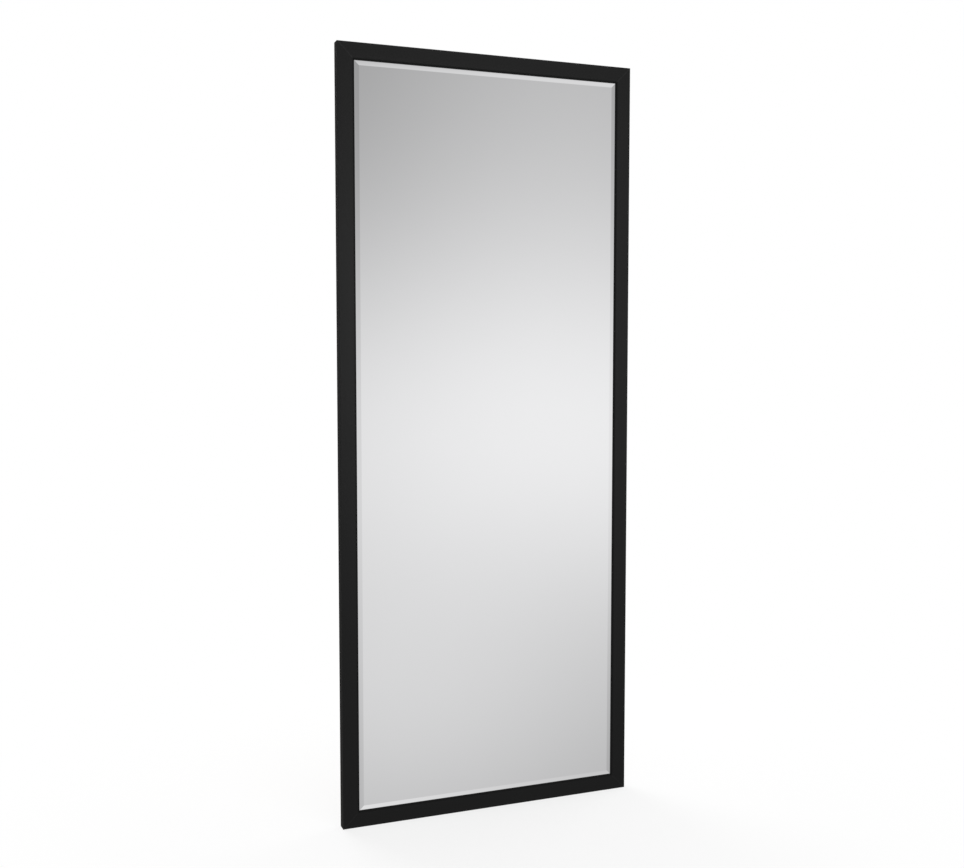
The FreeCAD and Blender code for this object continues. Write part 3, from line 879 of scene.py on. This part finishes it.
@dataclass
class Studio:
    """A pale floor, soft light, a studio for the glass to show, and the camera.

    The glass shows a grey studio with a broad low light in front of it and lighter bands above and below, as
    it does in the photograph. Each band is an elevation in degrees and the brightness there.
    """

    camera_place: tuple[float, float, float] = (-0.954, -2.472, 1.068)
    camera_yaw: float = 20.93
    camera_pitch: float = -3.85
    lens_mm: float = 43.2
    sensor_mm: float = 36.0
    shift_up: float = -0.01
    glows: tuple[Glow, ...] = (
        Glow(azimuth=57.0, elevation=-3.9, width=60.0, height=7.8, strength=0.52, lean=1.3),
        Glow(azimuth=16.0, elevation=-18.7, width=9.3, height=5.1, strength=0.22, lean=-0.07),
        Glow(azimuth=25.0, elevation=9.6, width=8.3, height=14.4, strength=0.24, lean=0.13),
        Glow(azimuth=10.0, elevation=-32.5, width=12.0, height=4.0, strength=0.3),
        Glow(azimuth=-9.0, elevation=11.0, width=6.5, height=13.0, strength=0.22),
        Glow(azimuth=-45.0, elevation=-13.0, width=22.0, height=9.0, strength=0.24),
        Glow(azimuth=-45.0, elevation=-21.0, width=18.0, height=4.5, strength=0.15),
        Glow(azimuth=-75.0, elevation=-25.0, width=12.0, height=25.0, strength=0.35),
        Glow(azimuth=-24.0, elevation=-33.0, width=11.0, height=13.0, strength=0.24))
    bands: tuple[tuple[float, float], ...] = (
        (-90, 0.85), (-47, 0.8), (-41, 0.58), (-29.5, 0.57), (-22, 0.395), (14, 0.31), (22, 0.61),
        (25, 0.56), (34, 0.8), (90, 0.9))
    ambient: float = 0.08
    lamps: tuple[SoftBox, ...] = (
        SoftBox("front_soft_box", place=(0, -1.05, 1.2), target=(0, 0, 1.2), side=0.9, watts=9.9),
        SoftBox("overhead_soft_box", place=(0, 0.4, 3.6), target=(0, 0, 0), side=2.4, watts=50),
        SoftBox("rear_soft_box", place=(-0.8, 2.8, 2.2), target=(0, 0, 0.86), side=2.0, watts=82),
        SoftBox("side_soft_box", place=(2.35, 0.9, 0.95), target=(0.35, 0, 0.95), side=1.5, watts=36))
    floor_size: float = 30.0
    floor_colour: str = "#f6f6f6"
    shadow_share: float = 0.22
    shadow_reach: float = 1.3

    def camera(self) -> None:
        """Places the camera where the photograph was taken from."""
        data = bpy.data.cameras.new("camera")
        data.lens, data.sensor_width, data.shift_y = self.lens_mm, self.sensor_mm, self.shift_up
        eye = bpy.data.objects.new("camera", data)
        eye.location = self.camera_place
        eye.rotation_euler = (math.radians(90 + self.camera_pitch), 0, -math.radians(self.camera_yaw))
        bpy.context.scene.collection.objects.link(eye)
        bpy.context.scene.camera = eye

    def brightness(self, tree: bpy.types.NodeTree) -> bpy.types.NodeSocket:
        """The studio's brightness by direction: bands of elevation, with the glows added to them.

        Args:
            tree: the world's nodes.

        Returns:
            The brightness.
        """
        way = add(tree, "ShaderNodeTexCoord").outputs["Generated"]
        split = add(tree, "ShaderNodeSeparateXYZ", {0: way}).outputs
        outward = add(tree, "ShaderNodeMath", {0: split["Y"], 1: -1.0}, operation="MULTIPLY").outputs[0]
        azimuth = add(tree, "ShaderNodeMath", {0: split["X"], 1: outward}, operation="ARCTAN2").outputs[0]
        elevation = add(tree, "ShaderNodeMath", {0: split["Z"]}, operation="ARCSINE").outputs[0]
        height = add(tree, "ShaderNodeMapRange", {
            "Value": elevation, "From Min": -math.pi / 2, "From Max": math.pi / 2}).outputs[0]
        ramp = add(tree, "ShaderNodeValToRGB", {0: height})
        ramp.color_ramp.interpolation = "EASE"
        stops = ramp.color_ramp.elements
        stops.remove(stops[-1])
        for number, (degrees, level) in enumerate(self.bands):
            place = (degrees + 90) / 180
            stop = stops.new(place) if number else stops[0]
            stop.position, stop.color = place, (level, level, level, 1)
        total = ramp.outputs[0]
        for glow in self.glows:
            total = glow.nodes(tree, azimuth, elevation, total)
        return total

    def world(self) -> None:
        """White to the camera, the studio to gloss and glass, and a plain soft light to everything else."""
        world = bpy.data.worlds.new("studio")
        world.use_nodes = True
        bpy.context.scene.world = world
        tree = world.node_tree
        ray = add(tree, "ShaderNodeLightPath").outputs
        shown = add(tree, "ShaderNodeMath", {
            0: ray["Is Glossy Ray"], 1: ray["Is Transmission Ray"]}, operation="MAXIMUM").outputs[0]
        level = add(tree, "ShaderNodeMix", {
            MixInput.SHARE: shown, MixInput.NUMBER_A: self.ambient,
            MixInput.NUMBER_B: self.brightness(tree)}).outputs[MixOutput.NUMBER]
        strength = add(tree, "ShaderNodeMix", {
            MixInput.SHARE: ray["Is Camera Ray"], MixInput.NUMBER_A: level,
            MixInput.NUMBER_B: 1.0}).outputs[MixOutput.NUMBER]
        background = tree.nodes["Background"]
        background.inputs["Color"].default_value = linear(WHITE)
        tree.links.new(strength, background.inputs["Strength"])

    def floor(self) -> None:
        """A pale floor, white to the camera except where the object's shadow lies close round it.

        The glass shows the studio in its place, as it does in the photograph.
        """
        half = self.floor_size / 2
        corners = np.array([(-half, -half, 0), (half, -half, 0), (half, half, 0), (-half, half, 0)])
        mesh = bpy.data.meshes.new("floor")
        mesh.from_pydata(corners.tolist(), [], [(0, 1, 2, 3)])
        floor = bpy.data.objects.new("floor", mesh)
        bpy.context.scene.collection.objects.link(floor)
        made = bpy.data.materials.new("pale_floor")
        made.use_nodes = True
        tree = made.node_tree
        tree.nodes.remove(tree.nodes["Principled BSDF"])
        ray = add(tree, "ShaderNodeLightPath").outputs["Is Camera Ray"]
        place = add(tree, "ShaderNodeTexCoord").outputs["Object"]
        far = add(tree, "ShaderNodeVectorMath", {0: place}, operation="LENGTH").outputs["Value"]
        white = add(tree, "ShaderNodeMapRange", {
            "Value": far, "From Max": self.shadow_reach, "To Min": 1 - self.shadow_share, "To Max": 1.0},
            interpolation_type="SMOOTHSTEP").outputs[0]
        share = add(tree, "ShaderNodeMath", {0: ray, 1: white}, operation="MULTIPLY").outputs[0]
        painted = add(tree, "ShaderNodeBsdfDiffuse", {"Color": linear(self.floor_colour)}).outputs[0]
        bright = add(tree, "ShaderNodeEmission", {"Color": linear(WHITE), "Strength": 1.0}).outputs[0]
        mixed = add(tree, "ShaderNodeMixShader", {0: share, 1: painted, 2: bright}).outputs[0]
        tree.links.new(mixed, tree.nodes["Material Output"].inputs["Surface"])
        mesh.materials.append(made)
        floor.visible_glossy = floor.visible_diffuse = False

    def make(self) -> None:
        """Sets up the whole studio."""
        bpy.context.scene.view_settings.view_transform = "Standard"
        self.camera()
        self.world()
        self.floor()
        for lamp in self.lamps:
            lamp.make()


def main() -> None:
    """Builds the sub-assemblies in order, then the studio."""
    logging.basicConfig(level=logging.INFO, format="%(message)s")
    for assembly in (MitredFrame(), BevelledGlass(), Hardware(), Studio()):
        log.info("%s", type(assembly).__name__)
        assembly.make()


if __name__ == "__main__":
    main()
